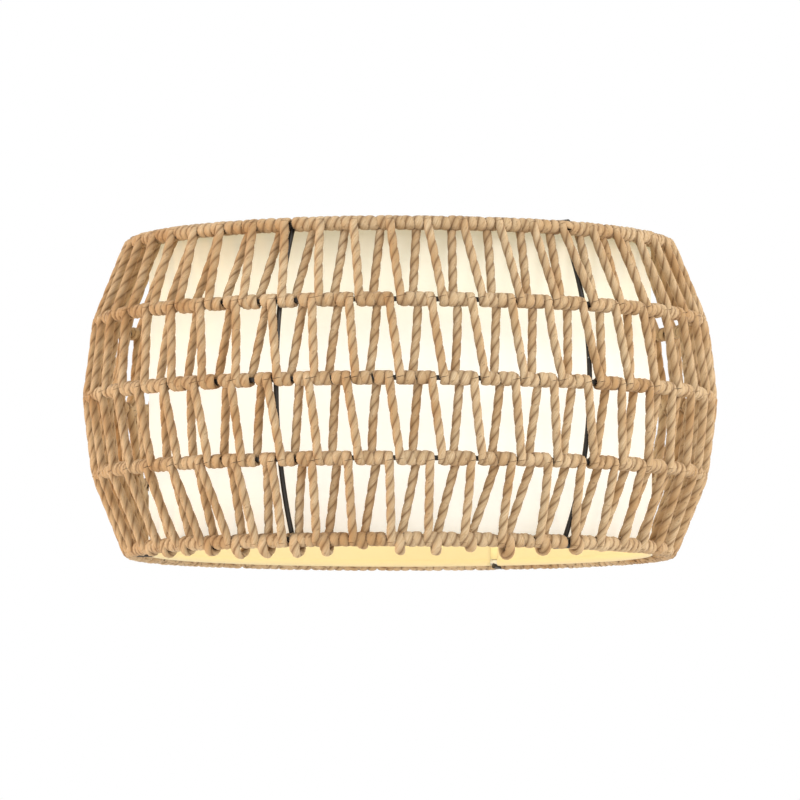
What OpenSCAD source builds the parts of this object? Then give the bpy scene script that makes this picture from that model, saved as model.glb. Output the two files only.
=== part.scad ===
// Bulged drum lamp shade: rope woven over a wire cage, with a fabric liner inside.
// Millimetres, +Z up. The origin is on the fitter ring's bore, at the ring's top face,
// so the shade hangs below it.

/* [Cage] */
// Diameter over the rope at the top and bottom rings
end_d = 279; // [220:1:340]
// How far the middle hoop stands out past the end rings
bulge = 20.5; // [10:0.5:40]
// Height from one hoop to the next, centre to centre
hoop_gap = 38.5; // [30:0.5:50]
// Diameter of the wire in the hoops, rings and ribs
wire_d = 2.5; // [2:0.1:3.4]
// Direction of the first rib, counted from +X
first_rib = 7; // [0:1:59]
// Length of rib left past the centre of each end ring
rib_tail = 1; // [0.5:0.1:1.2]

/* [Rope] */
// Diameter of the rope
rope_d = 4.4; // [3:0.1:5.3]
// Thickness of the rope laid tight round a hoop, as a share of its diameter
rope_squash = 0.58; // [0.5:0.01:0.8]
// Zigzags of rope between two neighbouring ribs
zigzags = 8; // [6:1:9]
// Gap between the two strands of a zigzag where they meet a hoop
apex_clear = 1.9; // [0.4:0.1:3]
// Clearance between a strand and a rib that it crosses
rib_clear = 0.15; // [0.1:0.01:0.4]
// Clearance each side of a rib or an arm where rope or hem makes way for it
notch_clear = 0.4; // [0.2:0.1:1]
// Gap between the turns of rope that neighbouring zigzags lay on a hoop
turn_clear = 0.3; // [0.2:0.1:1]

/* [Liner] */
// Gap between the liner and the rope on the end rings
liner_gap = 4.8; // [4:0.1:12]
// Thickness of the liner sheet
sheet_t = 0.8; // [0.5:0.1:1.2]
// Thickness of the fabric turned round the liner's rings
hem_t = 0.6; // [0.4:0.1:1]
// Width of the strip that covers the liner's joint
seam_w = 12; // [8:1:20]
// Thickness of that strip
seam_t = 0.5; // [0.3:0.1:0.8]
// Diameter of the short wires between the liner's bottom ring and the cage's
spacer_d = 2; // [1.6:0.1:2.4]

/* [Spider] */
// Bore of the fitter ring, which slips over the lampholder
fitter_bore_d = 41; // [28:0.5:43]
// Outer diameter of the fitter ring
fitter_d = 56; // [48:1:64]
// Thickness of the fitter ring
fitter_t = 2; // [1.5:0.1:3]
// Diameter of the arms
arm_d = 3; // [2.5:0.1:4]

/* [Hidden] */
$fn = 96;
RIBS = 6;
HOOPS = 5;
ARMS = 3;

ROPE = "tan";
WIRE = "#26211f";
CLOTH = "ivory";

// Rope laid on a hoop makes a tube of this radius round the wire
wrap_r = wire_d / 2 + rope_d * rope_squash;
// The hoops' centrelines, from the top ring down, as [radius, height]
ring_r = end_d / 2 - wrap_r;
top_z = -fitter_t / 2 - arm_d / 2 - wire_d / 2;
half_h = (HOOPS - 1) / 2 * hoop_gap;
middle_z = top_z - half_h;
bottom_z = middle_z - half_h;
// They lie on one bowed line, an arc of this radius about this centre
bow_r = (half_h * half_h + bulge * bulge) / (2 * bulge);
bow_x = ring_r + bulge - bow_r;
HOOP = [for (k = [0:HOOPS - 1])
    let (z = top_z - k * hoop_gap)
        [bow_x + sqrt(bow_r * bow_r - (z - middle_z) * (z - middle_z)), z]];

// The liner's rings and its sheet share one centreline
liner_r = ring_r - wrap_r - liner_gap - sheet_t / 2;
hem_r = wire_d / 2 + hem_t;

pitch = 360 / (RIBS * zigzags);

function unit(v) = v / norm(v);
function chord(k) = unit(HOOP[k + 1] - HOOP[k]);
// How far the bowed ribs stand out past the straight run from hoop k to the next
function sag(k) = bow_r - sqrt(bow_r * bow_r - pow(norm(HOOP[k + 1] - HOOP[k]) / 2, 2));
// Outward normal of that run
function out_of(k) = [-chord(k)[1], chord(k)[0]];
// Hoop k's centre moved out by d, square to the runs that meet there
function beside(k, d) =
    k == 0 ? HOOP[0] + d * out_of(0)
    : k == HOOPS - 1 ? HOOP[k] + d * out_of(k - 1)
    : HOOP[k] + d * (out_of(k - 1) + out_of(k)) / (1 + out_of(k - 1) * out_of(k));
// A point given as [radius, height], turned to a direction round the axis
function around(p, a) = [p[0] * cos(a), p[0] * sin(a), p[1]];
function rib_angle(i) = first_rib + i * 360 / RIBS;
function arm_angle(i) = rib_angle(1 + i * RIBS / ARMS);

// A rod between two points
module rod(a, b, d) {
    v = b - a;
    translate(a)
        rotate([0, acos(v[2] / norm(v)), atan2(v[1], v[0])])
            cylinder(d = d, h = norm(v));
}

module wire_ring(r, z) {
    translate([0, 0, z])
        rotate_extrude()
            translate([r, 0])
                circle(d = wire_d);
}

module hoop(k) {
    color(WIRE) wire_ring(HOOP[k][0], HOOP[k][1]);
}

// A bowed wire that touches the inner side of every hoop
module rib(i) {
    r = bow_r - wire_d;
    turn = asin(half_h / bow_r) + rib_tail / r * 180 / PI;
    color(WIRE)
        rotate(rib_angle(i))
            translate([bow_x, 0, middle_z])
                rotate([90, 0, 0])
                    rotate(-turn)
                        rotate_extrude(angle = 2 * turn)
                            translate([r, 0])
                                circle(d = wire_d);
}

// Straight strand from direction a at hoop k to direction b at the next hoop, on the
// hoops' outer side (1) or their inner side (-1)
module strand(k, a, b, side) {
    out = side * ((rope_d - wire_d) / 2 + sag(k) + rib_clear);
    p = around(beside(k, out), a);
    q = around(beside(k + 1, out), b);
    u = unit(q - p);
    // The ends stop where they meet the rope that is wound on each hoop
    lean = asin(abs(u * [-sin(a), cos(a), 0]));
    stop = (wrap_r + rope_d / 2 * sin(lean)) / cos(lean);
    rod(p + stop * u, q - stop * u, rope_d);
}

// One row of zigzag rope between hoop k and the next hoop. It goes down outside the
// hoops, where it crosses the ribs, and comes back up inside them.
module rope_row(k) {
    half = (rope_d + apex_clear) / 2;
    top = half / HOOP[k][0] * 180 / PI;
    low = half / HOOP[k + 1][0] * 180 / PI;
    color(ROPE)
        for (j = [0:RIBS * zigzags - 1]) {
            a = first_rib + (j - 0.25) * pitch;
            strand(k, a + top, a + pitch / 2 - low, 1);
            strand(k, a + pitch - top, a + pitch / 2 + low, -1);
        }
}

// Tube round a ring, with a notch at each of count even directions. The tube between
// two notches is cut into parts, with a gap between them.
module notched_tube(r, z, outer, inner, count, start, notch, parts, gap) {
    margin = notch / r * 180 / PI;
    space = gap / r * 180 / PI;
    turn = (360 / count - 2 * margin + space) / parts;
    for (i = [0:count - 1], j = [0:parts - 1])
        rotate(start + i * 360 / count + margin + j * turn)
            translate([0, 0, z])
                rotate_extrude(angle = turn - space)
                    translate([r, 0])
                        difference() {
                            circle(r = outer);
                            circle(r = inner);
                        }
}

// The turns of rope on a hoop, one group for each zigzag
module hoop_wrap(k) {
    notch = max(wire_d, arm_d) / 2 + notch_clear;
    color(ROPE)
        notched_tube(HOOP[k][0], HOOP[k][1], wrap_r, wire_d / 2,
                     RIBS, first_rib, notch, zigzags, turn_clear);
}

module fitter_ring() {
    color(WIRE)
        translate([0, 0, -fitter_t])
            difference() {
                cylinder(d = fitter_d, h = fitter_t);
                translate([0, 0, -1]) cylinder(d = fitter_bore_d, h = fitter_t + 2);
            }
}

// Lies on the liner's ring and the top ring, and butts on the fitter ring's rim
module spider_arm(i) {
    color(WIRE)
        rotate(arm_angle(i))
            difference() {
                rod([fitter_bore_d / 2, 0, -fitter_t / 2],
                    [ring_r + wire_d / 2, 0, -fitter_t / 2], arm_d);
                translate([0, 0, -arm_d - fitter_t])
                    cylinder(d = fitter_d, h = 2 * arm_d + 2 * fitter_t);
            }
}

// The sheet ends on the hems' round backs
module liner() {
    color(CLOTH)
        rotate_extrude()
            difference() {
                translate([liner_r - sheet_t / 2, bottom_z])
                    square([sheet_t, top_z - bottom_z]);
                for (z = [top_z, bottom_z]) translate([liner_r, z]) circle(r = hem_r);
            }
}

module liner_ring(z) {
    color(WIRE) wire_ring(liner_r, z);
}

module liner_hem(z) {
    notch = max(spacer_d, arm_d) / 2 + notch_clear;
    color(CLOTH)
        notched_tube(liner_r, z, hem_r, wire_d / 2, ARMS, arm_angle(0), notch, 1, 0);
}

// Strip glued over the sheet's joint, at the back
module liner_seam() {
    turn = seam_w / liner_r * 180 / PI;
    color(CLOTH)
        rotate(90 - turn / 2)
            rotate_extrude(angle = turn)
                translate([liner_r + sheet_t / 2, bottom_z + 2 * hem_r])
                    square([seam_t, top_z - bottom_z - 4 * hem_r]);
}

// Short wires welded under the liner's bottom ring and the cage's, in line with the arms
module bottom_spacers() {
    z = bottom_z - wire_d / 2 - spacer_d / 2;
    color(WIRE)
        for (i = [0:ARMS - 1])
            rotate(arm_angle(i))
                rod([liner_r - wire_d / 2, 0, z], [ring_r + wire_d / 2, 0, z], spacer_d);
}

fitter_ring();
spider_arm(0);  // spider_arm_1
spider_arm(1);  // spider_arm_2
spider_arm(2);  // spider_arm_3
hoop(0);  // top_ring
hoop(1);  // upper_hoop
hoop(2);  // middle_hoop
hoop(3);  // lower_hoop
hoop(4);  // bottom_ring
rib(0);  // rib_1
rib(1);  // rib_2
rib(2);  // rib_3
rib(3);  // rib_4
rib(4);  // rib_5
rib(5);  // rib_6
rope_row(0);  // rope_row_1
rope_row(1);  // rope_row_2
rope_row(2);  // rope_row_3
rope_row(3);  // rope_row_4
hoop_wrap(0);  // top_ring_wrap
hoop_wrap(1);  // upper_hoop_wrap
hoop_wrap(2);  // middle_hoop_wrap
hoop_wrap(3);  // lower_hoop_wrap
hoop_wrap(4);  // bottom_ring_wrap
liner();
liner_ring(top_z);  // liner_top_ring
liner_ring(bottom_z);  // liner_bottom_ring
liner_hem(top_z);  // liner_top_hem
liner_hem(bottom_z);  // liner_bottom_hem
liner_seam();
bottom_spacers();
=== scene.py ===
# %% [markdown]
# # A rope lamp shade over a wire cage, lit from inside
# The real shade is five wire hoops held by six bowed ribs, with a tan rope worked up and
# down between the hoops. A white cloth drum hangs inside it and spreads the bulb's light.
# The frame holds the metalwork and plain stand-ins for the rope and the cloth. This lesson
# keeps the metalwork, gives it paint and welds, and makes the rope and the cloth anew.

# %% Load the frame
import math

import bpy
import numpy as np
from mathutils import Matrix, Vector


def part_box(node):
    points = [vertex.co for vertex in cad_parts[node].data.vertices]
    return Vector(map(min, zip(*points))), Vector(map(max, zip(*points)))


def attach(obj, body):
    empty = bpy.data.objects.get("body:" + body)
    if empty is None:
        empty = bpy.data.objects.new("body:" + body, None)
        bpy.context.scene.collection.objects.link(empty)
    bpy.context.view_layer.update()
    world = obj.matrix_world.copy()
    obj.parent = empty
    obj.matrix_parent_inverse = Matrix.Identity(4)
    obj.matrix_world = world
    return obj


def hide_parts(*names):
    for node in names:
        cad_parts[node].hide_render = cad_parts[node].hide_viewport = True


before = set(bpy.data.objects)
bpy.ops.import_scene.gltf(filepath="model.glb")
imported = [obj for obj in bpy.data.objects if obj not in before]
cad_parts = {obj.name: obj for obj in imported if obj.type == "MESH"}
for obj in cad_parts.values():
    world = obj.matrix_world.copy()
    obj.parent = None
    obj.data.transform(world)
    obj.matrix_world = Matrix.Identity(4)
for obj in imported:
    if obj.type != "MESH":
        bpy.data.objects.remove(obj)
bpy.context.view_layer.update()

MM = 0.001
TAU = 2 * math.pi
UP = np.array([0.0, 0.0, 1.0])
scene = bpy.context.scene

# %% [markdown]
# ## Sizes read from the metalwork
# Nothing is measured by eye here. A ring's box gives its radius, its height and the
# thickness of its wire, and a rib's box gives the direction that the rib stands in.


# %% Ring and rib sizes
class Ring:
    """A ring node's centreline radius, its height and the radius of its section."""

    def __init__(self, node):
        low, high = (np.array(c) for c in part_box(node))
        self.section = (high[2] - low[2]) / 2
        self.radius = (high[0] - low[0]) / 2 - self.section
        self.height = (high[2] + low[2]) / 2


def azimuth_of(node):
    low, high = (np.array(c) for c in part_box(node))
    return math.atan2(high[1] + low[1], high[0] + low[0])


HOOP_NODES = ["top_ring", "upper_hoop", "middle_hoop", "lower_hoop", "bottom_ring"]
ROW_NODES = ["rope_row_1", "rope_row_2", "rope_row_3", "rope_row_4"]
RIB_NODES = [f"rib_{i}" for i in range(1, 7)]
ARM_NODES = [f"spider_arm_{i}" for i in range(1, 4)]
hoops = [Ring(node) for node in HOOP_NODES]
rib_azimuths = sorted(azimuth_of(node) for node in RIB_NODES)
arm_azimuths = sorted(azimuth_of(node) for node in ARM_NODES)
wire_r = hoops[0].section
laid_rope = Ring("top_ring_wrap").section - wire_r
print("hoop radii, mm:", [round(h.radius / MM, 1) for h in hoops])
print("rope laid on a hoop is", round(laid_rope / MM, 2), "mm thick")

# %% [markdown]
# ## Small helpers for node trees
# Every material and every Geometry Nodes tree below is wired by the same few helpers: one
# adds a node and fills its sockets, one opens named sockets on a group, and the others
# stand for the nodes that come up most.


# %% Node helpers
def add(tree, kind, inputs=(), **settings):
    """A node with its properties set, then its sockets filled by value or by link."""
    node = tree.nodes.new(kind)
    for name, value in settings.items():
        setattr(node, name, value)
    for key, value in dict(inputs).items():
        socket = node.inputs[key]
        if isinstance(value, bpy.types.NodeSocket):
            tree.links.new(value, socket)
        else:
            socket.default_value = value
    return node


def maths(tree, operation, *values):
    node = add(tree, "ShaderNodeMath", enumerate(values), operation=operation)
    return node.outputs[0]


def vector(tree, operation, a, b=None, out="Vector"):
    inputs = {0: a} if b is None else {0: a, 1: b}
    return add(tree, "ShaderNodeVectorMath", inputs, operation=operation).outputs[out]


def scaled(tree, a, factor):
    inputs = {0: a, "Scale": factor}
    return add(tree, "ShaderNodeVectorMath", inputs, operation="SCALE").outputs[0]


def noise(tree, place, scale, detail, roughness=0.5):
    inputs = {"Vector": place, "Scale": scale, "Detail": detail, "Roughness": roughness}
    return add(tree, "ShaderNodeTexNoise", inputs).outputs["Fac"]


def mixed(tree, share, a, b, blend="MIX"):
    """Colour a, with a share of colour b laid over it."""
    inputs = {0: share, 6: a, 7: b}
    return add(tree, "ShaderNodeMix", inputs, data_type="RGBA", blend_type=blend).outputs[2]


def ranged(tree, value, low, high, top=1.0):
    """0 at low and below, rising to top at high and above."""
    inputs = {"Value": value, "From Min": low, "From Max": high, "To Max": top}
    return add(tree, "ShaderNodeMapRange", inputs).outputs[0]


def open_sockets(group, inputs, outputs):
    """Named sockets on a group: (name, type, default value or None)."""
    for name, kind, value in inputs:
        socket = group.interface.new_socket(name=name, in_out="INPUT", socket_type=kind)
        if value is not None:
            socket.default_value = value
    for name, kind in outputs:
        group.interface.new_socket(name=name, in_out="OUTPUT", socket_type=kind)
    return group.nodes.new("NodeGroupInput"), group.nodes.new("NodeGroupOutput")


def new_material(name):
    material = bpy.data.materials.new(name)
    material.use_nodes = True
    tree = material.node_tree
    return material, tree, tree.nodes["Principled BSDF"]


# %% [markdown]
# ## Camera
# The shade hangs a little above eye level, so the camera looks up at it by four degrees,
# from a few metres away with a long lens. It is made first, so each step can be looked at.

# %% Camera
CAMERA_DISTANCE = 3.3
CAMERA_ELEVATION = math.radians(-4.0)
VIEW_WIDTH = 0.405
SENSOR_MM = 36
shade_middle = (hoops[0].height + hoops[-1].height) / 2
camera_data = bpy.data.cameras.new("camera")
camera_data.sensor_width = SENSOR_MM
camera_data.lens = SENSOR_MM * CAMERA_DISTANCE / VIEW_WIDTH
camera = bpy.data.objects.new("camera", camera_data)
camera.location = (
    0,
    -CAMERA_DISTANCE * math.cos(CAMERA_ELEVATION),
    shade_middle + CAMERA_DISTANCE * math.sin(CAMERA_ELEVATION),
)
camera.rotation_euler = (math.pi / 2 - CAMERA_ELEVATION, 0, 0)
scene.collection.objects.link(camera)
scene.camera = camera
print("lens", round(camera_data.lens), "mm, at", CAMERA_DISTANCE, "m")

# %% [markdown]
# ## The rope's route
# One rope makes each row. It goes down outside two hoops, takes a turn and a half round
# the lower one, comes back up inside them, and takes a turn and a half round the upper
# one. The route is a formula: a point goes round the hoop's wire by an angle while it
# moves on along the hoop. Each point also carries the direction that it lies away from
# the wire (lay), how flat the rope is pressed (flat) and the length behind it (along).

# %% Rope sizes
ROPE_R = 2.3 * MM
ZIGZAGS = 48
JOIN_FLAT = 0.86
WAY_FOR_RIB = 2.4 * MM
PATTERN_TURN = math.radians(-0.44)
pitch = TAU / ZIGZAGS
laid_flat = laid_rope / (2 * ROPE_R)
reach = wire_r + laid_rope / 2
first_apex = rib_azimuths[0] - pitch / 4 + PATTERN_TURN
last = len(hoops) - 1
print(ZIGZAGS, "zigzags a row,", round(pitch * hoops[2].radius / MM, 1), "mm apart at the widest")


# %% Directions and places on a hoop
def outward(azimuth):
    azimuth = np.asarray(azimuth, float)
    return np.stack([np.cos(azimuth), np.sin(azimuth), 0 * azimuth], axis=-1)


def away(azimuth, angle):
    """Direction away from a hoop's wire: 0 is outward and a quarter turn is up."""
    turned = np.cos(angle)[..., None] * outward(azimuth)
    return turned + np.sin(angle)[..., None] * UP


def on_hoop(hoop, azimuth, angle, distance):
    centre = hoop.radius * outward(azimuth) + hoop.height * UP
    return centre + np.asarray(distance)[..., None] * away(azimuth, angle)


def from_rib(azimuth):
    """Signed turn from the nearest rib."""
    turns = [(azimuth - rib + math.pi) % TAU - math.pi for rib in rib_azimuths]
    return min(turns, key=abs)


def make_way(azimuths, hoop):
    """Pushes rope aside where a rib is welded to the hoop."""
    out = []
    for azimuth in np.atleast_1d(azimuths):
        turn = from_rib(azimuth)
        moved = math.copysign(math.hypot(turn, WAY_FOR_RIB / hoop.radius), turn)
        out.append(azimuth + moved - turn)
    return np.array(out)


def smooth(t):
    t = np.clip(t, 0, 1)
    return t * t * (3 - 2 * t)


# %% [markdown]
# Hands made this, so the bends are never quite even. A fixed seed moves each of them by
# a fraction of a millimetre. At the front the bottom row is worked more loosely: its
# bends lie further along the ring, so the strands lean, and the last half turn of each
# hangs a few millimetres. Near one front rib the upper bends move along their hoop, the
# nearest one towards the rib. At the back the pattern is turned a little, so that at the
# two sides, seen from the front, fewer of its gaps line up with the front's. Bends of
# neighbouring rows share a hoop, and a small offset spaces their turns evenly.

# %% Where each bend sits
front_rib = rib_azimuths[1]
BEND_JITTER = 0.3 * MM
OFFSET = 0.6 * MM
# How far bends move along a hoop, where, and within how many degrees fully and at all
LEAN, LEAN_AZIMUTH, LEAN_REACH = 5.2 * MM, math.radians(-89), (14, 40)
FOLLOW, FOLLOW_REACH = 3.0 * MM, (3, 13)
BACK_SHIFT, BACK_AZIMUTH, BACK_REACH = math.radians(2.1), math.radians(90), (50, 120)
HANG, HANG_AZIMUTH, HANG_REACH = 3.6 * MM, math.radians(-101), (38, 62)
dice = np.random.default_rng(7)


def near(azimuths, middle, full, end):
    """1 within full degrees of a direction, fading to 0 at end degrees."""
    turn = np.degrees(np.abs((azimuths - middle + math.pi) % TAU - math.pi))
    return smooth((end - turn) / (end - full))


def bends(row, lower):
    """Azimuths of a row's bends on its upper or its lower hoop."""
    hoop = hoops[row + lower]
    azimuths = first_apex + (np.arange(ZIGZAGS) + 0.5 * lower) * pitch
    azimuths = azimuths + BACK_SHIFT * near(azimuths, BACK_AZIMUTH, *BACK_REACH)
    shifts = dice.normal(0, BEND_JITTER, ZIGZAGS) + (OFFSET if lower else -OFFSET)
    if row + lower == last:
        shifts -= LEAN * near(azimuths, LEAN_AZIMUTH, *LEAN_REACH)
    if not lower:
        shifts += FOLLOW * near(azimuths, front_rib - pitch / 4, *FOLLOW_REACH)
    return azimuths + shifts / hoop.radius


upper_bends = [bends(row, 0) for row in range(len(ROW_NODES))]
lower_bends = [bends(row, 1) for row in range(len(ROW_NODES))]
print(sum(len(row) for row in upper_bends + lower_bends), "bends placed")

# %% [markdown]
# A stretch of rope is a small table: points, lay directions and flatness. The route of a
# row strings them together: bend on the upper hoop, strand down, bend on the lower hoop,
# strand up. The bends belong to the hoops' windings and the strands to the row.

# %% Stretches of rope
STEP = 0.8 * MM
TURNS = 1.5
GAP_INNER, GAP_END = 5.8 * MM, 4.6 * MM
# The share of the gap that the bend's whole turn takes, before its last half turn
FULL_TURN_INNER, FULL_TURN_END = 0.8, 0.88


def bend(k, azimuth, start_angle, from_outside):
    """A turn and a half round hoop k's wire, pressed flat against it."""
    hoop = hoops[k]
    end_ring = k in (0, last)
    half = (GAP_END if end_ring else GAP_INNER) / 2 / hoop.radius
    t = np.linspace(0, 1, int(TURNS * TAU * reach / STEP))
    full_turn = FULL_TURN_END if end_ring else FULL_TURN_INNER
    share = np.interp(t, [0, 1 / TURNS, 1], [0, full_turn, 1])
    if not from_outside:
        share = 1 - share[::-1]
    azimuths = make_way(azimuth - half + 2 * half * share, hoop)
    angles = start_angle - TURNS * TAU * t
    pressed = smooth(np.minimum(t, 1 - t) / 0.12)
    distance = reach * (1 + 0.05 * np.sin(math.pi * t) * dice.normal())
    if k == last:
        slack = HANG * near(azimuth, HANG_AZIMUTH, *HANG_REACH) * (1 + 0.3 * dice.normal())
        hanging = np.clip(np.sin(math.pi * (TURNS * t - 1) / 0.5), 0, 1) * (t > 1 / TURNS)
        distance = distance + slack * hanging
        pressed = pressed * (1 - hanging * (slack > 0.5 * MM))
    flat = JOIN_FLAT + (laid_flat - JOIN_FLAT) * pressed
    return on_hoop(hoop, azimuths, angles, distance), away(azimuths, angles), flat


def strand(start, end):
    """A free strand between two stretches, slightly bowed by hand tension."""
    (p, lay_p), (q, lay_q) = start, end
    count = int(np.linalg.norm(q - p) / STEP)
    t = np.linspace(0, 1, count)[:, None]
    lay = lay_p + (lay_q - lay_p) * t
    side = np.cross(q - p, lay_p)
    side /= np.linalg.norm(side)
    bow = np.sin(math.pi * t)
    wander = dice.normal(0, 0.3 * MM) * side + dice.normal(0, 0.15 * MM) * lay_p
    ends = smooth(np.minimum(t, 1 - t) / 0.1)[:, 0]
    points = p + (q - p) * t + bow * wander
    return points, lay, JOIN_FLAT + (1 - JOIN_FLAT) * ends


def run_slope(row):
    """Angle, away from outward, that is square to the run between a row's hoops."""
    upper, lower = hoops[row], hoops[row + 1]
    return math.atan2(lower.radius - upper.radius, upper.height - lower.height)


def row_route(row):
    """All stretches of one row, in the order that the rope takes them."""
    slope = run_slope(row)
    bends_up = [bend(row, a, slope + math.pi, False) for a in upper_bends[row]]
    bends_down = [bend(row + 1, a, slope, True) for a in lower_bends[row]]
    route = []
    for i in range(ZIGZAGS):
        up, down = bends_up[i], bends_down[i]
        after = bends_up[(i + 1) % ZIGZAGS]
        route.append((HOOP_NODES[row], up))
        route.append((ROW_NODES[row], strand((up[0][-1], up[1][-1]), (down[0][0], down[1][0]))))
        route.append((HOOP_NODES[row + 1], down))
        route.append(
            (ROW_NODES[row], strand((down[0][-1], down[1][-1]), (after[0][0], after[1][0])))
        )
    return route


# %% [markdown]
# Only one row bends round each end ring, which would leave bare wire between the bends.
# There the maker fills in: an edging rope takes two turns in every gap, then passes
# behind the bend to the next gap. Its route is one more list of stretches.

# %% Edging rope on an end ring
EDGE_TURNS = 2
LAID_WIDTH = 4.9 * MM
PASS_POINTS = 18


def edging_route(k, azimuths):
    hoop = hoops[k]
    half = GAP_END / 2 / hoop.radius
    beside_bend = LAID_WIDTH / 2 / hoop.radius
    # The bend covers more of the ring on the side where its strand stays outside
    far, close = half + beside_bend, 0.76 * half + beside_bend
    before, after = (close, far) if k == 0 else (far, close)
    wound = []
    for i in range(ZIGZAGS):
        start = azimuths[i] + after
        end = azimuths[(i + 1) % ZIGZAGS] + TAU * (i + 1 == ZIGZAGS) - before
        t = np.linspace(0, 1, int(EDGE_TURNS * TAU * reach / STEP))
        along_ring = make_way(start + (end - start) * t, hoop)
        angles = math.pi - EDGE_TURNS * TAU * t
        distance = reach * (1 + 0.03 * dice.normal() * np.sin(math.pi * t))
        points = on_hoop(hoop, along_ring, angles, distance)
        wound.append((points, away(along_ring, angles), along_ring))
    route = []
    for i in range(ZIGZAGS):
        points, lay, along_ring = wound[i]
        route.append((HOOP_NODES[k], (points, lay, np.full(len(points), laid_flat))))
        ahead = wound[(i + 1) % ZIGZAGS][2][0] + TAU * (i + 1 == ZIGZAGS)
        t = np.linspace(0, 1, PASS_POINTS)
        across = along_ring[-1] + (ahead - along_ring[-1]) * t
        angles = np.full(len(t), math.pi)
        rise = laid_rope * smooth(np.minimum(t, 1 - t) / 0.3)
        points = on_hoop(hoop, across, angles, reach + rise)
        stretch = (points, away(across, angles), np.full(len(t), laid_flat))
        route.append((HOOP_NODES[k], stretch))
    return route


# %% Measure every route along its length
HALF_LAY = 8.5 * MM


def measured(route):
    """Adds heading and along to a closed route; the twist meets itself at the end."""
    points = np.concatenate([stretch[0] for _, stretch in route])
    steps = np.linalg.norm(np.diff(points, axis=0, append=points[:1]), axis=1)
    along = np.concatenate([[0], np.cumsum(steps)])[:-1]
    long = float(steps.sum())
    along *= round(long / HALF_LAY) * HALF_LAY / long
    ahead, behind = np.roll(points, -2, axis=0), np.roll(points, 2, axis=0)
    heading = ahead - behind
    heading /= np.linalg.norm(heading, axis=1)[:, None]
    out, i = [], 0
    for piece, (spots, lay, flat) in route:
        n = len(spots)
        out.append((piece, spots, lay, flat, heading[i : i + n], along[i : i + n]))
        i += n
    return out, long


all_stretches, rope_length = [], 0.0
for row in range(len(ROW_NODES)):
    stretches, long = measured(row_route(row))
    all_stretches += stretches
    rope_length += long
for k, azimuths in ((0, upper_bends[0]), (last, lower_bends[-1])):
    stretches, long = measured(edging_route(k, azimuths))
    all_stretches += stretches
    rope_length += long
print(len(all_stretches), "stretches of rope,", round(rope_length, 1), "m in all")

# %% [markdown]
# ## Twisting the rope with Geometry Nodes
# A two-ply rope could be drawn as two helices, but the plies of a real one press into each
# other and leave only a groove. So one tube is swept along each stretch with a section
# that is pinched on two sides, and the section turns as it goes: the pinch becomes the
# groove that winds round the rope. The tree reads the route's attributes by name.

# %% The rope tree
ROPE_SIDES = 12


def named(tree, name, kind="FLOAT"):
    node = add(tree, "GeometryNodeInputNamedAttribute", {"Name": name}, data_type=kind)
    return node.outputs["Attribute"]


def store(tree, geometry, name, value, kind="FLOAT"):
    inputs = {"Geometry": geometry, "Name": name, "Value": value}
    node = add(
        tree, "GeometryNodeStoreNamedAttribute", inputs, data_type=kind, domain="POINT"
    )
    return node.outputs[0]


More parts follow.
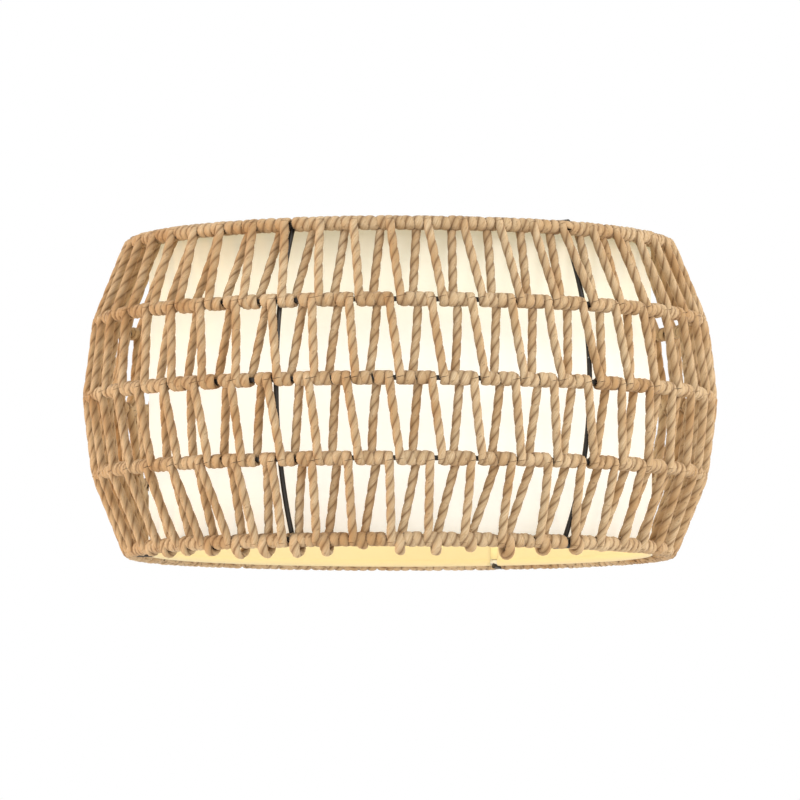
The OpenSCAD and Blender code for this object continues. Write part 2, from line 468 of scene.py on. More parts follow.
def rope_tree():
    tree = bpy.data.node_groups.new("twisted_rope", "GeometryNodeTree")
    tree.is_modifier = True
    given, made = open_sockets(
        tree,
        [
            ("Geometry", "NodeSocketGeometry", None),
            ("Rope Radius", "NodeSocketFloat", ROPE_R),
            ("Sides", "NodeSocketInt", ROPE_SIDES),
            ("Ring Spacing", "NodeSocketFloat", 1.3 * MM),
            ("Twist Length", "NodeSocketFloat", 2 * HALF_LAY),
            ("Groove Depth", "NodeSocketFloat", 0.17),
            ("Groove Sharpness", "NodeSocketFloat", 0.62),
            ("Spread When Flat", "NodeSocketFloat", 0.7),
            ("Material", "NodeSocketMaterial", None),
        ],
        [("Geometry", "NodeSocketGeometry")],
    )
    radius = given.outputs["Rope Radius"]
    sides = given.outputs["Sides"]
    curve = add(tree, "GeometryNodeMeshToCurve", {"Mesh": given.outputs["Geometry"]})
    route = add(
        tree,
        "GeometryNodeResampleCurve",
        {"Curve": curve.outputs[0], "Length": given.outputs["Ring Spacing"]},
        mode="LENGTH",
    ).outputs[0]
    position = add(tree, "GeometryNodeInputPosition").outputs[0]
    route = store(tree, route, "centre", position, "FLOAT_VECTOR")
    ring = add(
        tree, "GeometryNodeCurvePrimitiveCircle", {"Resolution": sides, "Radius": radius}
    ).outputs[0]
    index = add(tree, "GeometryNodeInputIndex").outputs[0]
    turn = maths(tree, "DIVIDE", maths(tree, "MULTIPLY", index, TAU), sides)
    ring = store(tree, ring, "ring_angle", turn)
    tube = add(
        tree,
        "GeometryNodeCurveToMesh",
        {"Curve": route, "Profile Curve": ring, "Fill Caps": True},
    ).outputs[0]

    heading = vector(tree, "NORMALIZE", named(tree, "heading", "FLOAT_VECTOR"))
    lay = named(tree, "lay", "FLOAT_VECTOR")
    slip = scaled(tree, heading, vector(tree, "DOT_PRODUCT", lay, heading, "Value"))
    square = vector(tree, "NORMALIZE", vector(tree, "SUBTRACT", lay, slip))
    across = vector(tree, "CROSS_PRODUCT", heading, square)
    angle = named(tree, "ring_angle")
    along = named(tree, "along")
    twist = maths(tree, "DIVIDE", along, given.outputs["Twist Length"])
    twist = maths(tree, "MULTIPLY", twist, TAU)
    phase = maths(tree, "ADD", angle, twist)
    crest = maths(tree, "ABSOLUTE", maths(tree, "COSINE", angle))
    crest = maths(tree, "POWER", crest, given.outputs["Groove Sharpness"])
    depth = given.outputs["Groove Depth"]
    lobe = maths(tree, "SUBTRACT", 1.0, depth)
    lobe = maths(tree, "ADD", lobe, maths(tree, "MULTIPLY", depth, crest))
    size = maths(tree, "MULTIPLY", lobe, radius)
    flat = named(tree, "flat")
    wide = maths(tree, "SUBTRACT", 1.0, flat)
    wide = maths(tree, "MULTIPLY", wide, given.outputs["Spread When Flat"])
    wide = maths(tree, "ADD", wide, 1.0)
    lift = maths(tree, "MULTIPLY", maths(tree, "COSINE", phase), flat)
    lift = scaled(tree, square, maths(tree, "MULTIPLY", lift, size))
    aside = maths(tree, "MULTIPLY", maths(tree, "SINE", phase), wide)
    aside = scaled(tree, across, maths(tree, "MULTIPLY", aside, size))
    place = vector(tree, "ADD", lift, aside)
    place = vector(tree, "ADD", place, named(tree, "centre", "FLOAT_VECTOR"))
    shape = add(
        tree, "GeometryNodeSetPosition", {"Geometry": tube, "Position": place}
    ).outputs[0]
    shape = store(tree, shape, "crest", crest)
    fibre = add(
        tree,
        "ShaderNodeCombineXYZ",
        {
            "X": maths(tree, "MULTIPLY", maths(tree, "COSINE", angle), radius),
            "Y": maths(tree, "MULTIPLY", maths(tree, "SINE", angle), radius),
            "Z": along,
        },
    ).outputs[0]
    shape = store(tree, shape, "fibre", fibre, "FLOAT_VECTOR")
    shape = add(tree, "GeometryNodeSetShadeSmooth", {"Geometry": shape}).outputs[0]
    shape = add(tree, "GeometryNodeRealizeInstances", {"Geometry": shape}).outputs[0]
    shape = add(
        tree,
        "GeometryNodeSetMaterial",
        {"Geometry": shape, "Material": given.outputs["Material"]},
    ).outputs[0]
    tree.links.new(shape, made.inputs["Geometry"])
    return tree


# %% Run a tree once and keep the plain mesh
def run_tree(name, mesh, tree, values):
    """Puts the tree on the mesh, sets its inputs by identifier, and keeps the result."""
    source = bpy.data.objects.new(name + "_source", mesh)
    scene.collection.objects.link(source)
    modifier = source.modifiers.new("shape", "NODES")
    modifier.node_group = tree
    for item in tree.interface.items_tree:
        if item.item_type == "SOCKET" and item.in_out == "INPUT" and item.name in values:
            modifier[item.identifier] = values[item.name]
    bpy.context.view_layer.update()
    shown = source.evaluated_get(bpy.context.evaluated_depsgraph_get())
    result = bpy.data.meshes.new_from_object(shown)
    result.name = name
    bpy.data.objects.remove(source)
    bpy.data.meshes.remove(mesh)
    piece = bpy.data.objects.new(name, result)
    scene.collection.objects.link(piece)
    return piece


def inside_volume(mesh):
    """Signed volume; below zero the faces point inwards."""
    mesh.calc_loop_triangles()
    spots = np.zeros(len(mesh.vertices) * 3)
    mesh.vertices.foreach_get("co", spots)
    corners = np.zeros(len(mesh.loop_triangles) * 3, np.int32)
    mesh.loop_triangles.foreach_get("vertices", corners)
    a, b, c = spots.reshape(-1, 3)[corners.reshape(-1, 3)].transpose(1, 0, 2)
    return float((a * np.cross(b, c)).sum() / 6)


def face_outwards(piece):
    if inside_volume(piece.data) < 0:
        piece.data.flip_normals()


# %% Colours
SCREEN_GAMMA = 2.2


def shade_of(red, green, blue):
    """A colour as seen on a screen, 0 to 255, turned to linear light."""
    return (*((c / 255) ** SCREEN_GAMMA for c in (red, green, blue)), 1.0)


# %% [markdown]
# ## Rope paper
# The rope is paper, twisted and unvarnished: matt, straw to tan, with fine fibres along
# each ply, grooves painted darker as shade with some dust in them, and patches that took
# more dye. The fibre coordinates turn with the plies, so streaks drawn along them wind as
# real ones do.
# The effect is a group that gives a colour, a roughness and a height.


# %% Rope fibre group
def fibre_group():
    group = bpy.data.node_groups.new("rope_fibre", "ShaderNodeTree")
    given, made = open_sockets(
        group,
        [
            ("Dark", "NodeSocketColor", shade_of(108, 78, 48)),
            ("Middle", "NodeSocketColor", shade_of(185, 155, 114)),
            ("Pale", "NodeSocketColor", shade_of(218, 195, 161)),
            ("Patch", "NodeSocketColor", shade_of(172, 132, 86)),
            ("Streaks Across", "NodeSocketFloat", 1900.0),
            ("Streaks Along", "NodeSocketFloat", 170.0),
        ],
        [
            ("Color", "NodeSocketColor"),
            ("Roughness", "NodeSocketFloat"),
            ("Height", "NodeSocketFloat"),
        ],
    )
    place = add(group, "ShaderNodeAttribute", attribute_name="fibre").outputs["Vector"]
    crest = add(group, "ShaderNodeAttribute", attribute_name="crest").outputs["Fac"]
    object_place = add(group, "ShaderNodeTexCoord").outputs["Object"]
    stretch = add(
        group,
        "ShaderNodeCombineXYZ",
        {
            "X": given.outputs["Streaks Across"],
            "Y": given.outputs["Streaks Across"],
            "Z": given.outputs["Streaks Along"],
        },
    ).outputs[0]
    streak_place = vector(group, "MULTIPLY", place, stretch)
    streaks = noise(group, streak_place, 1.0, 3.0, 0.6)
    flecks = noise(group, place, 620.0, 2.0)
    patches = noise(group, object_place, 34.0, 3.0, 0.55)

    tone = ranged(group, streaks, 0.3, 0.72)
    colour = mixed(group, tone, given.outputs["Middle"], given.outputs["Pale"])
    dyed = ranged(group, patches, 0.42, 0.66, 0.75)
    colour = mixed(group, dyed, colour, given.outputs["Patch"])
    fleck = ranged(group, flecks, 0.6, 0.74, 0.5)
    # The grooves between the plies are painted darker as painted shade, with some dust; the dark
    # flecks are added to it.
    groove = maths(group, "POWER", maths(group, "SUBTRACT", 1.0, crest), 1.6)
    groove_shade_and_flecks = maths(group, "MULTIPLY", groove, 0.85)
    groove_shade_and_flecks = maths(group, "MAXIMUM", groove_shade_and_flecks, fleck)
    colour = mixed(group, groove_shade_and_flecks, colour, given.outputs["Dark"])
    group.links.new(colour, made.inputs["Color"])
    rough = maths(group, "MULTIPLY_ADD", streaks, 0.18, 0.72)
    group.links.new(rough, made.inputs["Roughness"])
    height = maths(group, "MULTIPLY_ADD", flecks, 0.35, streaks)
    group.links.new(height, made.inputs["Height"])
    return group


# %% Rope material
def rope_material():
    material, tree, principled = new_material("rope_paper")
    fibre = add(tree, "ShaderNodeGroup", node_tree=fibre_group())
    bump = add(
        tree,
        "ShaderNodeBump",
        {"Height": fibre.outputs["Height"], "Strength": 0.7, "Distance": 0.22 * MM},
    )
    tree.links.new(fibre.outputs["Color"], principled.inputs["Base Color"])
    tree.links.new(fibre.outputs["Roughness"], principled.inputs["Roughness"])
    tree.links.new(bump.outputs[0], principled.inputs["Normal"])
    principled.inputs["Specular IOR Level"].default_value = 0.25
    principled.inputs["Sheen Weight"].default_value = 0.12
    principled.inputs["Sheen Roughness"].default_value = 0.5
    return material


ROPE = rope_material()
print("made", ROPE.name)

# %% [markdown]
# ## Making the rope pieces
# Each row's strands are one piece, and all the turns on a hoop are another. The stretches
# of a piece go into one mesh of bare edges, with the route's values as attributes, and
# the tree turns every edge chain into twisted rope.


# %% Rope pieces
def route_mesh(name, stretches):
    counts = [len(s[1]) for s in stretches]
    starts = np.concatenate([[0], np.cumsum(counts)])[:-1]
    edges = [
        (i, i + 1)
        for start, count in zip(starts, counts, strict=True)
        for i in range(start, start + count - 1)
    ]
    columns = [np.concatenate([s[k] for s in stretches]) for k in range(1, 6)]
    points, lay, flat, heading, along = columns
    mesh = bpy.data.meshes.new(name + "_route")
    mesh.from_pydata(points.tolist(), edges, [])
    for label, values, kind, key in (
        ("lay", lay, "FLOAT_VECTOR", "vector"),
        ("heading", heading, "FLOAT_VECTOR", "vector"),
        ("flat", flat, "FLOAT", "value"),
        ("along", along, "FLOAT", "value"),
    ):
        layer = mesh.attributes.new(label, kind, "POINT")
        layer.data.foreach_set(key, np.ascontiguousarray(values, float).ravel())
    return mesh


def drop_working_attributes(mesh):
    """Removes what the tree reads and no material does."""
    for name in ("lay", "heading", "flat", "along", "centre", "ring_angle"):
        if name in mesh.attributes:
            mesh.attributes.remove(mesh.attributes[name])


twisted_rope = rope_tree()


def rope_piece(name, owner, replaced):
    stretches = [s for s in all_stretches if s[0] == owner]
    piece = run_tree(name, route_mesh(name, stretches), twisted_rope, {"Material": ROPE})
    drop_working_attributes(piece.data)
    face_outwards(piece)
    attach(piece, "root")
    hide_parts(replaced)
    print(name, len(piece.data.polygons), "faces")


for i, node in enumerate(ROW_NODES):
    rope_piece(f"row_{i + 1}_strands", node, node)
for node in HOOP_NODES:
    rope_piece(node + "_winding", node, node + "_wrap")

# %% [markdown]
# ## Cloth
# The liner is a plain weave glued to clear film. Close up its threads go over and under in
# turn, some thicker than others, and they glow when the bulb is on. The weave is drawn on
# the sheet's own UV map, which is in metres, so the threads follow the cloth.


# %% Plain weave group
def weave_group():
    group = bpy.data.node_groups.new("plain_weave", "ShaderNodeTree")
    given, made = open_sockets(
        group,
        [("Thread", "NodeSocketFloat", 0.62 * MM), ("Slub", "NodeSocketFloat", 0.35)],
        [
            ("Height", "NodeSocketFloat"),
            ("Thread Tone", "NodeSocketFloat"),
            ("Cloud", "NodeSocketFloat"),
        ],
    )
    place = add(group, "ShaderNodeUVMap", uv_map="cloth").outputs[0]
    split = add(group, "ShaderNodeSeparateXYZ", {0: place})
    warp_place = vector(group, "MULTIPLY", place, (40.0, 1500.0, 0.0))
    weft_place = vector(group, "MULTIPLY", place, (1500.0, 40.0, 0.0))
    slubs = [noise(group, p, 1.0, 2.0) for p in (warp_place, weft_place)]
    waves = []
    for axis in ("X", "Y"):
        count = maths(group, "DIVIDE", split.outputs[axis], given.outputs["Thread"])
        waves.append(maths(group, "SINE", maths(group, "MULTIPLY", count, math.pi)))
    over = maths(group, "MULTIPLY", waves[0], waves[1])
    ridge = maths(group, "ABSOLUTE", over)
    slub = maths(group, "MULTIPLY", maths(group, "ADD", *slubs), given.outputs["Slub"])
    height = maths(group, "ADD", maths(group, "MULTIPLY_ADD", over, 0.25, ridge), slub)
    cloud = noise(group, place, 22.0, 2.0)
    group.links.new(height, made.inputs["Height"])
    group.links.new(slub, made.inputs["Thread Tone"])
    group.links.new(cloud, made.inputs["Cloud"])
    return group


# %% [markdown]
# The glow could come from a lamp alone, but light through a thin sheet is slow to render
# and is lost when the model is exported. So the cloth itself gives off light: nearly
# white outside, warm yellow inside, and dimmer towards both rings, where the bulb's light
# strikes at a slant. GLOW switches the lamp off when it is zero, the cloth's light and the
# small bulb's light together.

# %% Cloth material
GLOW = 1.0
liner_low, liner_high = (np.array(c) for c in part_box("liner"))


def cloth_material(name, plain, warm_lit_film, outside, inside, glow):
    """Cloth in one colour, film inside it painted warmer as the bulb's light, and a glow of its
    own on each.
    """
    material, tree, principled = new_material(name)
    weave = add(tree, "ShaderNodeGroup", node_tree=WEAVE)
    place = add(tree, "ShaderNodeTexCoord").outputs["Object"]
    height = add(tree, "ShaderNodeSeparateXYZ", {0: place}).outputs["Z"]
    level = ranged(tree, height, liner_low[2], liner_high[2])
    fade = add(tree, "ShaderNodeValToRGB", {0: level})
    ramp = fade.color_ramp
    ramp.interpolation = "EASE"
    ramp.elements[0].color = (0.80, 0.79, 0.76, 1)
    ramp.elements[1].color = (0.52, 0.47, 0.32, 1)
    for spot, value, tint in ((0.2, 0.98, 1), (0.55, 1.0, 1), (0.8, 0.88, 0.84)):
        ramp.elements.new(spot).color = (value, value, value * tint, 1)
    inner = add(tree, "ShaderNodeAttribute", attribute_name="inside").outputs["Fac"]
    light = mixed(tree, inner, outside, inside)
    light = mixed(tree, 1.0, light, fade.outputs[0], "MULTIPLY")
    threads = maths(tree, "MULTIPLY_ADD", weave.outputs["Thread Tone"], 0.22, 0.9)
    light = scaled(tree, light, threads)
    tree.links.new(light, principled.inputs["Emission Color"])
    principled.inputs["Emission Strength"].default_value = glow
    # Inside the sheet the film gets a warmer colour than the cloth: painted warm light from the
    # bulb.
    cloth = mixed(tree, inner, plain, warm_lit_film)
    tone = maths(tree, "MULTIPLY_ADD", weave.outputs["Cloud"], 0.14, 0.9)
    tree.links.new(scaled(tree, cloth, tone), principled.inputs["Base Color"])
    bump = add(
        tree,
        "ShaderNodeBump",
        {"Height": weave.outputs["Height"], "Strength": 0.5, "Distance": 0.12 * MM},
    )
    tree.links.new(bump.outputs[0], principled.inputs["Normal"])
    rough = maths(tree, "MULTIPLY_ADD", weave.outputs["Thread Tone"], 0.12, 0.78)
    tree.links.new(rough, principled.inputs["Roughness"])
    principled.inputs["Sheen Weight"].default_value = 0.1
    return material


WEAVE = weave_group()
# The film colours below are warm yellow as painted light from the bulb on the inner face.
LINER_CLOTH = cloth_material(
    "liner_cloth",
    plain=shade_of(202, 198, 190),
    warm_lit_film=shade_of(204, 188, 146),
    outside=shade_of(238, 236, 226),
    inside=shade_of(196, 184, 124),
    glow=GLOW * 0.8,
)
HEM_CLOTH = cloth_material(
    "hem_cloth",
    plain=shade_of(206, 200, 184),
    warm_lit_film=shade_of(204, 188, 152),
    outside=shade_of(222, 212, 180),
    inside=shade_of(186, 174, 122),
    glow=GLOW * 0.55,
)
print("made", LINER_CLOTH.name, "and", HEM_CLOTH.name)

# %% [markdown]
# ## The liner's pieces
# Everything in the liner is a flat outline carried round the axis: the sheet, the hems
# that turn over its two rings, and the strip over its joint. One helper sweeps a closed
# outline between two directions, and closes the ends if it doesn't go all the way round.
# The sheet's UV map is unrolled from the same sweep.


# %% Sweep an outline round the axis
def swept(name, outline, start, end, count, material, ripple=None):
    """outline is a list of (radius, height, inside) in order round the section."""
    outline = np.array(outline, float)
    whole = abs(end - start - TAU) < 1e-9
    azimuths = np.linspace(start, end, count + 1)
    if whole:
        azimuths = azimuths[:-1]
    rows, m = len(azimuths), len(outline)
    radius = np.repeat(outline[None, :, 0], rows, axis=0)
    height = np.repeat(outline[None, :, 1], rows, axis=0)
    if ripple is not None:
        radius = radius + ripple(azimuths[:, None], height)
    points = radius[..., None] * outward(azimuths)[:, None] + height[..., None] * UP
    faces, grid = [], []
    for i in range(rows if whole else rows - 1):
        for j in range(m):
            a, b = i * m, (i + 1) % rows * m
            faces.append((a + j, b + j, b + (j + 1) % m, a + (j + 1) % m))
            grid.append(((i, j), (i + 1, j), (i + 1, j + 1), (i, j + 1)))
    if not whole:
        faces.append(tuple(range(m)))
        faces.append(tuple(range((rows - 1) * m + m - 1, (rows - 1) * m - 1, -1)))
        grid.append(tuple((0, j) for j in range(m)))
        grid.append(tuple((rows - 1, j) for j in range(m - 1, -1, -1)))
    mesh = bpy.data.meshes.new(name)
    mesh.from_pydata(points.reshape(-1, 3).tolist(), [], faces)
    girth = np.concatenate(
        [[0], np.cumsum(np.linalg.norm(np.diff(outline[:, :2], axis=0), axis=1))]
    )
    girth = np.append(girth, girth[-1])
    round_by = (end - start) / count * float(outline[:, 0].mean())
    layer = mesh.uv_layers.new(name="cloth")
    spots = [(i * round_by, girth[j]) for face in grid for i, j in face]
    layer.data.foreach_set("uv", np.array(spots, float).ravel())
    marks = mesh.attributes.new("inside", "FLOAT", "POINT")
    marks.data.foreach_set("value", np.tile(outline[:, 2], rows))
    mesh.materials.append(material)
    mesh.polygons.foreach_set("use_smooth", [True] * len(mesh.polygons))
    mesh.update()
    piece = bpy.data.objects.new(name, mesh)
    scene.collection.objects.link(piece)
    face_outwards(piece)
    return piece


# %% Liner sheet
top_wire, bottom_wire = Ring("liner_top_ring"), Ring("liner_bottom_ring")
liner_r = top_wire.radius
sheet_half = liner_high[0] - liner_r
hem_r = Ring("liner_top_hem").section
SHEET_ROWS, SHEET_STEPS = 26, 288
UNDER_HEM = 0.85
sheet_top = top_wire.height - UNDER_HEM * hem_r
sheet_bottom = bottom_wire.height + UNDER_HEM * hem_r


def hand_made(azimuth, height):
    """Cloth glued round by hand is never a perfect drum."""
    level = (height - sheet_bottom) / (sheet_top - sheet_bottom)
    free = np.sin(math.pi * np.clip(level, 0, 1))
    waves = 0.22 * np.sin(5 * azimuth + 1.1) + 0.16 * np.sin(11 * azimuth + 6 * level)
    return MM * free * waves


levels = np.linspace(sheet_bottom, sheet_top, SHEET_ROWS)
sheet_outline = [(liner_r + sheet_half, z, 0) for z in levels]
sheet_outline += [(liner_r - sheet_half, z, 1) for z in levels[::-1]]
liner_sheet = swept(
    "liner_sheet", sheet_outline, 0, TAU, SHEET_STEPS, LINER_CLOTH, hand_made
)
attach(liner_sheet, "root")
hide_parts("liner")
print("liner sheet", len(liner_sheet.data.polygons), "faces")

# %% [markdown]
# A hem could be a plain tube. On a liner of this kind the cloth comes up outside the wire,
# goes over it, and is glued down inside for about a centimetre, so the outline does too.

# %% Hems
HEM_CLOTH_THICK = 0.45 * MM
HEM_TURN_IN = 9.5 * MM
HEM_GAP = 2.0 * MM
HEM_STEPS = 96


def hem_outline(wire, upwards):
    """Cloth over a ring: upwards is 1 for the top ring and -1 for the bottom one."""
    middle = hem_r - HEM_CLOTH_THICK / 2
    angles = np.radians(np.linspace(-62, 232, 22))
    line = [(math.cos(a) * middle, math.sin(a) * middle, a) for a in angles]
    inner = -sheet_half - HEM_CLOTH_THICK / 2 - 0.05 * MM
    for share in np.linspace(0.25, 1, 6):
        line.append((inner, -HEM_TURN_IN * share, math.pi))
    out, back = [], []
    for x, z, angle in line:
        nx, nz = math.cos(angle), math.sin(angle)
        thick = HEM_CLOTH_THICK / 2
        inside = 1.0 if x < 0 else 0.0
        for side, rows in ((1, out), (-1, back)):
            spot_x, spot_z = x + side * thick * nx, z + side * thick * nz
            rows.append((wire.radius + spot_x, wire.height + upwards * spot_z, inside))
    return out + back[::-1]


def hem(name, wire, upwards, replaced):
    """The cloth round one ring, cut where a wire comes through it."""
    gap = HEM_GAP / wire.radius
    outline = hem_outline(wire, upwards)
    parts = []
    for start, end in zip(arm_azimuths, [*arm_azimuths[1:], arm_azimuths[0] + TAU], strict=True):
        parts.append(swept(name, outline, start + gap, end - gap, HEM_STEPS, HEM_CLOTH))
    piece = joined(name, parts)
    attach(piece, "root")
    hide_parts(replaced)
    return piece


def joined(name, parts):
    """One object from several, by copying their meshes together."""
    with bpy.context.temp_override(
        active_object=parts[0],
        object=parts[0],
        selected_objects=parts,
        selected_editable_objects=parts,
    ):
        bpy.ops.object.join()
    parts[0].name = name
    parts[0].data.name = name
    return parts[0]


top_hem = hem("top_hem_cloth", top_wire, 1, "liner_top_hem")
bottom_hem = hem("bottom_hem_cloth", bottom_wire, -1, "liner_bottom_hem")
print("hems", [len(piece.data.polygons) for piece in (top_hem, bottom_hem)], "faces")

# %% Joint strip
STRIP_THICK, STRIP_CLEAR = 0.5 * MM, 0.1 * MM
STRIP_ROWS, STRIP_STEPS = 16, 8
seam_low, seam_high = (np.array(c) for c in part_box("liner_seam"))
seam_azimuth = azimuth_of("liner_seam")
seam_half = (seam_high[0] - seam_low[0]) / 2 / liner_r


def strip_outline():
    face = liner_r + sheet_half + STRIP_CLEAR
    levels = np.linspace(seam_low[2], seam_high[2], STRIP_ROWS)
    outer = [(face + STRIP_THICK, z, 0) for z in levels[1:-1]]
    inner = [(face, z, 0) for z in levels[::-1]]
    return outer + inner


liner_strip = swept(
    "joint_strip",
    strip_outline(),
    seam_azimuth - seam_half,
    seam_azimuth + seam_half,
    STRIP_STEPS,
    HEM_CLOTH,
    hand_made,
)
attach(liner_strip, "root")
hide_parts("liner_seam")
print("joint strip", round(2 * seam_half * liner_r / MM, 1), "mm wide")

# %% The liner's cut size
SEAM_OVERLAP = 8 * MM
liner_sides = (TAU * liner_r + SEAM_OVERLAP, sheet_top - sheet_bottom)
print("liner cut", [round(side, 3) for side in liner_sides], "m")

# %% [markdown]
# ## Painted wire
# The cage is steel wire with black paint baked on. Paint on wire pools slightly and
# takes small knocks, so the surface has a soft orange peel, and a few chips show steel.
# The white rings in the liner use the same group with other colours.


# %% Baked paint group
def paint_group():
    group = bpy.data.node_groups.new("baked_paint", "ShaderNodeTree")
    given, made = open_sockets(
        group,
        [
            ("Paint", "NodeSocketColor", (0.02, 0.02, 0.02, 1)),
            ("Steel", "NodeSocketColor", (0.42, 0.41, 0.39, 1)),
            ("Chips", "NodeSocketFloat", 0.3),
        ],
        [
            ("Color", "NodeSocketColor"),
            ("Bare", "NodeSocketFloat"),
            ("Roughness", "NodeSocketFloat"),
            ("Height", "NodeSocketFloat"),
        ],
    )
    place = add(group, "ShaderNodeTexCoord").outputs["Object"]
    peel = noise(group, place, 900.0, 2.0)
    knocks = noise(group, place, 210.0, 5.0)
    smudge = noise(group, place, 45.0, 3.0)
    limit = maths(group, "SUBTRACT", 0.78, maths(group, "MULTIPLY", given.outputs["Chips"], 0.1))
    bare = ranged(group, knocks, limit, maths(group, "ADD", limit, 0.02))
    dust = maths(group, "MULTIPLY_ADD", smudge, 0.7, 0.65)
    paint = scaled(group, given.outputs["Paint"], dust)
    colour = mixed(group, bare, paint, given.outputs["Steel"])
    group.links.new(colour, made.inputs["Color"])
    group.links.new(bare, made.inputs["Bare"])
    rough = maths(group, "MULTIPLY_ADD", smudge, 0.25, 0.28)
    group.links.new(rough, made.inputs["Roughness"])
    height = maths(group, "SUBTRACT", peel, maths(group, "MULTIPLY", bare, 1.5))
    group.links.new(height, made.inputs["Height"])
    return group


PAINT = paint_group()


def painted_wire(name, paint, chips):
    material, tree, principled = new_material(name)
    coat = add(tree, "ShaderNodeGroup", {"Paint": paint, "Chips": chips}, node_tree=PAINT)
    tree.links.new(coat.outputs["Color"], principled.inputs["Base Color"])
    tree.links.new(coat.outputs["Bare"], principled.inputs["Metallic"])
    tree.links.new(coat.outputs["Roughness"], principled.inputs["Roughness"])
    bump = add(
        tree,
        "ShaderNodeBump",
        {"Height": coat.outputs["Height"], "Strength": 0.35, "Distance": 0.05 * MM},
    )
    tree.links.new(bump.outputs[0], principled.inputs["Normal"])
    return material


BLACK_WIRE = painted_wire("black_wire", (0.016, 0.014, 0.012, 1), 0.5)
WHITE_WIRE = painted_wire("white_wire", (0.70, 0.68, 0.62, 1), 0.2)
print("made", BLACK_WIRE.name, "and", WHITE_WIRE.name)


# %% Dress the metalwork
def dress(node, material):
    """A new finish on a node that keeps its shape."""
    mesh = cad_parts[node].data
    mesh.materials.clear()
    mesh.materials.append(material)


BLACK_NODES = ["fitter_ring", "bottom_spacers", *ARM_NODES, *HOOP_NODES, *RIB_NODES]
WHITE_NODES = ["liner_top_ring", "liner_bottom_ring"]
for node in BLACK_NODES:
    dress(node, BLACK_WIRE)
for node in WHITE_NODES:
    dress(node, WHITE_WIRE)
print(len(BLACK_NODES), "black and", len(WHITE_NODES), "white nodes")

# %% [markdown]
# ## Weld beads
# The wires are spot welded where they cross, and a small blob of metal stands at each
# place. Dozens of blobs of one kind are a job for Geometry Nodes: points where the wires
# touch, a small ball on each one, and a little noise so that no two are alike.


# %% Weld tree
def weld_tree():
    tree = bpy.data.node_groups.new("weld_beads", "GeometryNodeTree")
    tree.is_modifier = True
    given, made = open_sockets(
        tree,
        [
            ("Geometry", "NodeSocketGeometry", None),
            ("Bead Radius", "NodeSocketFloat", 1.25 * MM),
            ("Roughness", "NodeSocketFloat", 0.35 * MM),
            ("Seed", "NodeSocketInt", 4),
            ("Material", "NodeSocketMaterial", None),
        ],
        [("Geometry", "NodeSocketGeometry")],
    )
    ball = add(
        tree,
        "GeometryNodeMeshIcoSphere",
        {"Radius": given.outputs["Bead Radius"], "Subdivisions": 3},
    ).outputs["Mesh"]
    turn = add(
        tree,
        "FunctionNodeRandomValue",
        {0: (0, 0, 0), 1: (TAU, TAU, TAU), "Seed": given.outputs["Seed"]},
        data_type="FLOAT_VECTOR",
    ).outputs[0]
    size = add(
        tree,
        "FunctionNodeRandomValue",
        {2: 0.85, 3: 1.2, "Seed": given.outputs["Seed"]},
        data_type="FLOAT",
    ).outputs[1]
    points = add(
        tree, "GeometryNodeMeshToPoints", {"Mesh": given.outputs["Geometry"]}
    ).outputs[0]
    beads = add(
        tree,
        "GeometryNodeInstanceOnPoints",
        {"Points": points, "Instance": ball, "Rotation": turn, "Scale": size},
    ).outputs[0]
    beads = add(tree, "GeometryNodeRealizeInstances", {"Geometry": beads}).outputs[0]
    position = add(tree, "GeometryNodeInputPosition").outputs[0]
    bumps = maths(tree, "SUBTRACT", noise(tree, position, 700.0, 1.0), 0.5)
    normal = add(tree, "GeometryNodeInputNormal").outputs[0]
    push = maths(tree, "MULTIPLY", bumps, given.outputs["Roughness"])
    beads = add(
        tree,
        "GeometryNodeSetPosition",
        {"Geometry": beads, "Offset": scaled(tree, normal, push)},
    ).outputs[0]
    beads = add(tree, "GeometryNodeSetShadeSmooth", {"Geometry": beads}).outputs[0]
    beads = add(
        tree,
        "GeometryNodeSetMaterial",
        {"Geometry": beads, "Material": given.outputs["Material"]},
    ).outputs[0]
    tree.links.new(beads, made.inputs["Geometry"])
    return tree


# %% Where the wires touch
RIB_WELD_SIDE = 0.8
ARM_WELD_SIDE = 1.0 * MM
fitter_low, fitter_high = (np.array(c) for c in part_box("fitter_ring"))
arm_height = (fitter_low[2] + fitter_high[2]) / 2
weld_spots = []
half_height = hoops[0].height - shade_middle
stand_out = hoops[2].radius - hoops[0].radius
bow_radius = (half_height**2 + stand_out**2) / (2 * stand_out)
for hoop in hoops:
    lean = math.asin((hoop.height - shade_middle) / bow_radius)
    inwards = hoop.radius - wire_r * math.cos(lean)
    spot_height = hoop.height - wire_r * math.sin(lean)
    for azimuth in rib_azimuths:
        for side in (-1, 1):
            turned = azimuth + side * RIB_WELD_SIDE * wire_r / hoop.radius
            weld_spots.append(inwards * outward(turned) + spot_height * UP)
for azimuth in arm_azimuths:
    for radius in (fitter_high[0], top_wire.radius, hoops[0].radius):
        height = arm_height if radius == fitter_high[0] else top_wire.height + wire_r
        for side in (-1, 1):
            turned = azimuth + side * ARM_WELD_SIDE / radius
            weld_spots.append(radius * outward(turned) + height * UP)
    for ring in (bottom_wire, hoops[-1]):
        spot_height = ring.height - ring.section
        weld_spots.append(ring.radius * outward(azimuth) + spot_height * UP)
spots_mesh = bpy.data.meshes.new("weld_spots")
spots_mesh.from_pydata([tuple(s) for s in weld_spots], [], [])
welds = run_tree("weld_beads", spots_mesh, weld_tree(), {"Material": BLACK_WIRE})
face_outwards(welds)
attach(welds, "root")
print(len(weld_spots), "weld beads")

# %% [markdown]
# ## Floor, light and backdrop
# The shade hangs from a lamp, so the floor is more than a metre below it. A white
# surrounding gives the even light of a product table, and three soft lights give the rope
# its round shading: a key from the upper right, and a warm light about level with the
# shade on each side, for the glow that reaches the rope there. A small warm light stands
# where the bulb would be, for the spider and the rings inside.

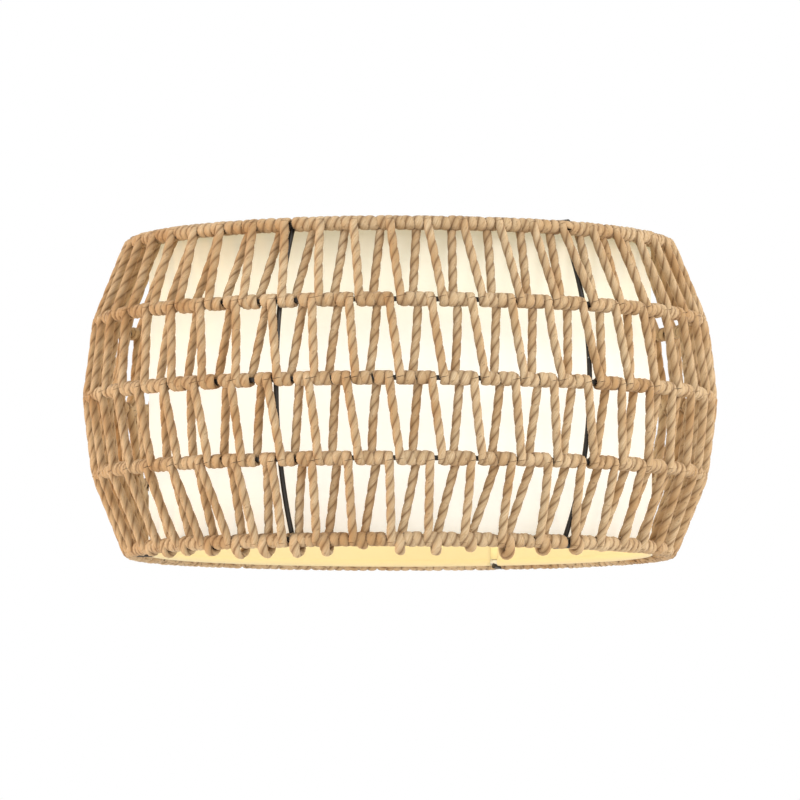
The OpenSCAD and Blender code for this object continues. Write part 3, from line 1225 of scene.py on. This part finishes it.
# %% Floor
FLOOR_DROP = 1.35
FLOOR_SIDE = 14.0
floor_mesh = bpy.data.meshes.new("floor")
corner = FLOOR_SIDE / 2
floor_mesh.from_pydata(
    [(x * corner, y * corner, -FLOOR_DROP) for x, y in ((-1, -1), (1, -1), (1, 1), (-1, 1))],
    [],
    [(0, 1, 2, 3)],
)
floor_paint, _, floor_shader = new_material("pale_floor")
floor_shader.inputs["Base Color"].default_value = (0.86, 0.86, 0.85, 1)
floor_shader.inputs["Roughness"].default_value = 0.8
floor_mesh.materials.append(floor_paint)
floor = bpy.data.objects.new("floor", floor_mesh)
scene.collection.objects.link(floor)
print("floor", FLOOR_DROP, "m below the shade's top")


# %% Lights
def soft_light(name, place, target, size, watts, colour):
    data = bpy.data.lights.new(name, "AREA")
    data.shape = "SQUARE"
    data.size = size
    data.energy = watts
    data.color = colour
    light = bpy.data.objects.new(name, data)
    light.location = place
    direction = np.array(target) - np.array(place)
    flat = math.hypot(direction[0], direction[1])
    light.rotation_euler = (
        math.pi / 2 + math.atan2(direction[2], flat),
        0,
        math.atan2(direction[1], direction[0]) - math.pi / 2,
    )
    scene.collection.objects.link(light)


middle = (0, 0, shade_middle)
soft_light("key", (1.4, -2.0, 1.1), middle, 1.2, 26, (1.0, 0.97, 0.93))
soft_light("warm_left", (-2.2, -0.4, -0.1), middle, 1.0, 24, (1.0, 0.58, 0.22))
soft_light("warm_right", (2.2, 0.2, 0.2), middle, 1.0, 15, (1.0, 0.7, 0.38))
BULB_WATTS = 0.25
bulb_data = bpy.data.lights.new("bulb_light", "POINT")
bulb_data.energy = GLOW * BULB_WATTS
bulb_data.color = (1.0, 0.86, 0.62)
bulb_data.shadow_soft_size = 0.03
bulb = bpy.data.objects.new("bulb_light", bulb_data)
bulb.location = (0, 0, shade_middle)
scene.collection.objects.link(bulb)

world = bpy.data.worlds.new("white_room")
world.use_nodes = True
surround = world.node_tree.nodes["Background"]
surround.inputs["Color"].default_value = (1, 1, 1, 1)
surround.inputs["Strength"].default_value = 1.0
scene.world = world
scene.view_settings.view_transform = "Standard"
